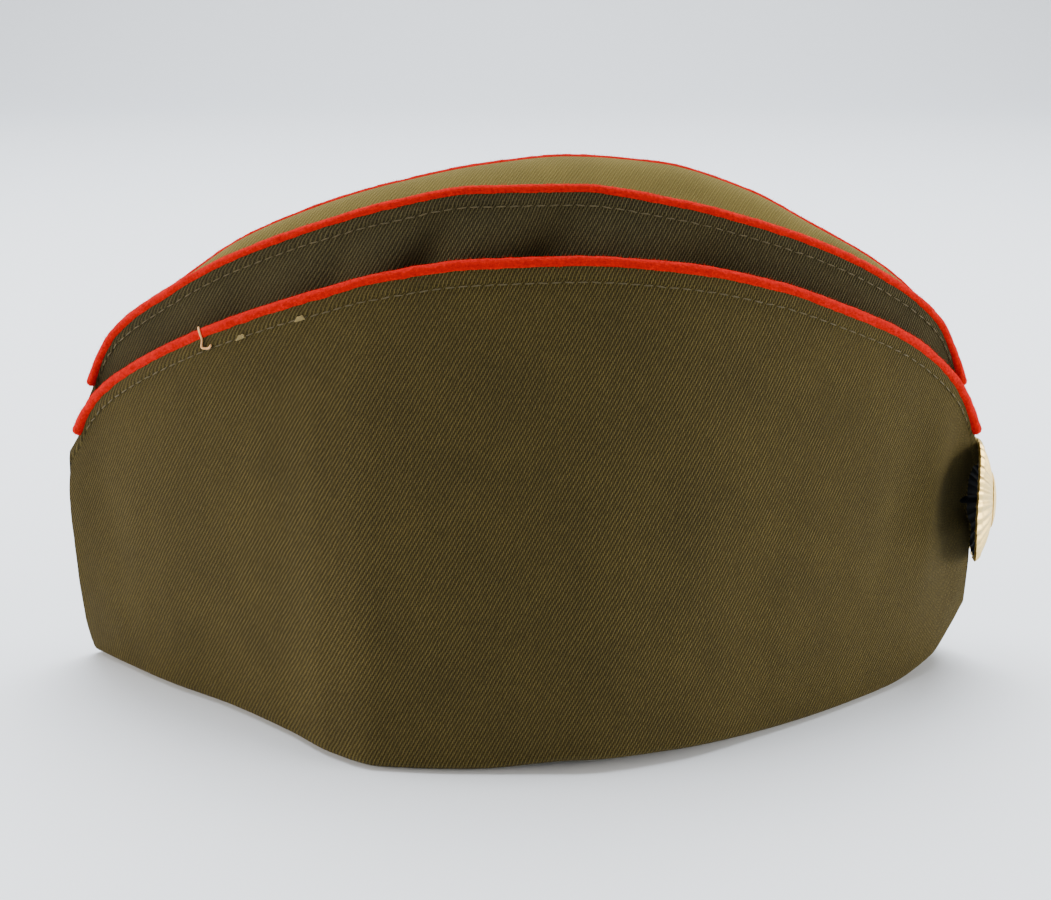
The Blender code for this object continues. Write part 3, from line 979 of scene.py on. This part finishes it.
LINES = (
    ("flap", flap_section, FLAP_CORD, FLAP_WALL, 0.965),
    ("crown_side", crown_section, RIDGE_CORD, CROWN_WALL, 0.955),
)
for part, section, radius, wall, end in LINES:
    band = radius * (1 - EDGE_REACH) + BAND_WIDTH[part]
    for side in (RIGHT, LEFT):
        node = part + "_" + SIDE_NAMES[side]
        path = stitch_path(section, side, stations(240, end), band, wall)
        made = grow(
            stitch_tree,
            STITCH,
            line_mesh(node + "_line", path),
            node + "_stitches",
            {
                "Pitch": STITCH_PITCH,
                "Length": 0.0023,
                "Thickness": 0.00032,
                "Seed": 5,
                "Material": THREAD,
            },
        )
        made.polygons.foreach_set("use_smooth", [True] * len(made.polygons))
        place_piece(add_object(node + "_stitches", made, THREAD), None)
        print(node, len(made.polygons) // 80, "stitches")

# %% [markdown]
# ## Loose thread end
# A short end of undyed thread crosses the right flap's cord near the rear, and two knots of olive
# thread sit in the line of stitches.

# %%
def on_flap(along, below, out):
    """A point of the right flap this far below its edge and out from its cloth."""
    rows = flap_section(RIGHT, along, 0.0)
    gone = 0.0
    for upper, lower in zip(reversed(rows), reversed(rows[:-1])):
        gone += (upper - lower).length
        if gone >= below:
            break
    return lower - hem_inward(RIGHT, along) * (FLAP_WALL / 2 + out)


def smooth_path(points, steps):
    """A soft curve through a few points."""
    path = []
    for i in range(len(points) - 1):
        before = points[max(i - 1, 0)]
        a, b = points[i], points[i + 1]
        after = points[min(i + 2, len(points) - 1)]
        for k in range(steps):
            t = k / steps
            path.append(
                0.5
                * (
                    2 * a
                    + (b - before) * t
                    + (2 * before - 5 * a + 4 * b - after) * t ** 2
                    + (3 * a - before - 3 * b + after) * t ** 3
                )
            )
    return [*path, points[-1]]


top = flap_top(RIGHT, -0.672)
end_points = [
    top + Vector((-0.0008, 0.0002, 0.0019)),
    top + Vector((-0.0003, -0.0014, 0.0011)),
    top + Vector((0.0003, -0.0020, -0.0006)),
    on_flap(-0.664, 0.0019, 0.0004),
    on_flap(-0.657, 0.0026, 0.0005),
    on_flap(-0.648, 0.0028, 0.0005),
    on_flap(-0.642, 0.0022, 0.0004),
]
mesh = tube("loose_thread", smooth_path(end_points, 8), 0.00026, 8, 0.25)
place_piece(add_object("loose_thread", mesh, LOOSE_THREAD), None)
for number, along in enumerate((-0.575, -0.445)):
    loop = []
    for i in range(12):
        angle = 1.7 * i
        wide = 0.0085 + 0.003 * math.sin(2.3 * i)
        below = 0.0031 + 0.00045 * math.sin(1.3 * angle)
        loop.append(on_flap(along + wide * math.cos(angle), below, 0.0002 + 0.00004 * i))
    name = f"thread_knot_{number + 1}"
    mesh = tube(name, smooth_path(loop, 5), 0.00016, 7, 0.2, number)
    place_piece(add_object(name, mesh, KNOT_THREAD), None)
print("one loose end and two knots")

# %% [markdown]
# ## Cockade
# One pressed sheet: flutes run out from a plain oval and end in a rim of small teeth. Metal is
# read by its reflections, so the flutes are real geometry and not a bump.

# %%
RAYS = 30


def cockade_face(y, z):
    """Where the dome of the cockade lies along X, at this place from its middle."""
    across = math.hypot(2 * y / COCKADE_WIDTH, 2 * z / COCKADE_HEIGHT)
    drop = 1 - math.sqrt(max(0.0, 1 - 0.8 * across ** 2))
    x = COCKADE_REACH + SHIFT - 0.0044 * drop / (1 - math.sqrt(0.2))
    x -= 0.0017 * (2 * y / COCKADE_WIDTH) ** 2
    x -= math.tan(math.radians(3.0)) * z
    return x + math.tan(math.radians(7.0)) * y


def ray_point(across, angle):
    valley = (0.5 - 0.5 * math.cos(RAYS * angle)) ** 0.8
    reach = across - 0.0009 * valley * across ** 6 / (COCKADE_WIDTH / 2)
    y = COCKADE_WIDTH / 2 * reach * math.cos(angle)
    z = COCKADE_HEIGHT / 2 * reach * math.sin(angle)
    depth = 0.0007 * valley * max(0.0, (across - 0.42) / 0.58) ** 0.8
    rim = 0.0004 * math.exp(-(((across - 0.94) / 0.05) ** 2))
    return Vector((cockade_face(y, z) - depth + rim, y, COCKADE_MIDDLE + z))


def centre_point(across, angle):
    y = 0.0060 * across * math.cos(angle)
    z = 0.0075 * across * math.sin(angle)
    x = cockade_face(y, z) + 0.0004 + 0.0005 * math.sqrt(max(0.0, 1 - across ** 2))
    return Vector((x, y, COCKADE_MIDDLE + z))


def oval(name, point_at, rings, spokes, sheet):
    points, faces = [point_at(0, 0)], []
    for ring in range(1, rings + 1):
        points += [point_at(ring / rings, 2 * math.pi * i / spokes) for i in range(spokes)]
    for i in range(spokes):
        j = (i + 1) % spokes
        faces.append((0, 1 + i, 1 + j))
        for ring in range(rings - 1):
            a = 1 + ring * spokes
            faces.append((a + i, a + spokes + i, a + spokes + j, a + j))
    mesh = bpy.data.meshes.new(name)
    mesh.from_pydata(points, [], faces)
    obj = add_object(name + "_grid", mesh)
    solidify = obj.modifiers.new("sheet", "SOLIDIFY")
    solidify.thickness = sheet
    solidify.offset = 0
    # The back faces of the sheet take the second slot, the near-black painted shade.
    solidify.material_offset = 1
    mesh.materials.append(GILT)
    mesh.materials.append(NEAR_BLACK_PAINTED_SHADE)
    mesh = plain_mesh(obj, name)
    mesh.polygons.foreach_set("use_smooth", [True] * len(mesh.polygons))
    mesh.set_sharp_from_angle(angle=math.radians(50))
    return mesh


mesh = oval("cockade_rays", ray_point, 26, RAYS * 12, COCKADE_SHEET)
place_piece(add_object("cockade_rays_gilt", mesh), "cockade_rays")
print("rays", len(mesh.polygons), "faces")
mesh = oval("cockade_centre", centre_point, 12, 96, 0.0005)
place_piece(add_object("cockade_centre_gilt", mesh, GILT), "cockade_centre")
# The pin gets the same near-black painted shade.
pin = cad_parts["cockade_pin"]
pin.data.materials.clear()
pin.data.materials.append(NEAR_BLACK_PAINTED_SHADE)
print("centre", len(mesh.polygons), "faces")

# %% [markdown]
# ## Floor and light
# A sheet of pale paper runs under the cap and curves up behind it. A big soft light hangs over and
# behind the cap, and two more stand at its sides, so the ends of the cap are brighter than the
# middle of the near side.

# %%
def paper_sweep():
    """A sheet along the floor that bends up into a backdrop."""
    front, back, bend, tall, wide = -1.6, 1.1, 0.6, 2.4, 2.6
    profile = [(front + (back - front) * i / 8, 0.0) for i in range(9)]
    for i in range(1, 17):
        angle = math.pi / 2 * i / 16
        profile.append((back + bend * math.sin(angle), bend - bend * math.cos(angle)))
    profile.append((back + bend, tall))
    points = [(x, y, z) for y, z in profile for x in (-wide, wide)]
    faces = [(2 * i, 2 * i + 1, 2 * i + 3, 2 * i + 2) for i in range(len(profile) - 1)]
    mesh = bpy.data.meshes.new("paper")
    mesh.from_pydata(points, [], faces)
    mesh.polygons.foreach_set("use_smooth", [True] * len(mesh.polygons))
    return add_object("paper_sweep", mesh, PAPER)


def soft_light(name, place, target, width, height, watts, hex_text):
    light = bpy.data.lights.new(name, "AREA")
    light.shape = "RECTANGLE"
    light.size = width
    light.size_y = height
    light.energy = watts
    light.color = colour(hex_text)[:3]
    obj = bpy.data.objects.new(name, light)
    bpy.context.scene.collection.objects.link(obj)
    obj.location = place
    obj.rotation_euler = (Vector(target) - Vector(place)).to_track_quat("-Z", "Y").to_euler()
    return obj


paper_sweep()
soft_light("over", (0.0, 0.45, 1.25), (0, 0.05, 0.05), 1.4, 1.0, 55.0, "#F4F9FF")
soft_light("left", (-0.9, -0.10, 0.18), (0, 0, 0.05), 0.7, 0.35, 13.0, "#FFF6EA")
soft_light("right", (0.9, -0.10, 0.18), (0, 0, 0.05), 0.7, 0.35, 12.5, "#FFFAF2")
world = bpy.data.worlds.new("room")
world.use_nodes = True
world.node_tree.nodes["Background"].inputs[0].default_value = colour("#DDE2E8")
world.node_tree.nodes["Background"].inputs[1].default_value = 0.22
bpy.context.scene.world = world
print("three soft lights")

# %% [markdown]
# ## Camera
# It stands 0.4 m from the cap and looks down on it by 20 degrees.

# %%
DISTANCE = 0.400
LOOK_DOWN = math.radians(20)
camera_data = bpy.data.cameras.new("camera")
camera_data.sensor_width = 36
camera_data.lens = 52.82
camera_data.dof.use_dof = False
camera = bpy.data.objects.new("camera", camera_data)
bpy.context.scene.collection.objects.link(camera)
aim = Vector((-0.0003 + SHIFT, 0, 0.0586))
camera.location = aim - Vector((0, math.cos(LOOK_DOWN), -math.sin(LOOK_DOWN))) * DISTANCE
camera.rotation_euler = (math.pi / 2 - LOOK_DOWN, 0, 0)
bpy.context.scene.camera = camera
print("camera at", [round(c, 4) for c in camera.location])
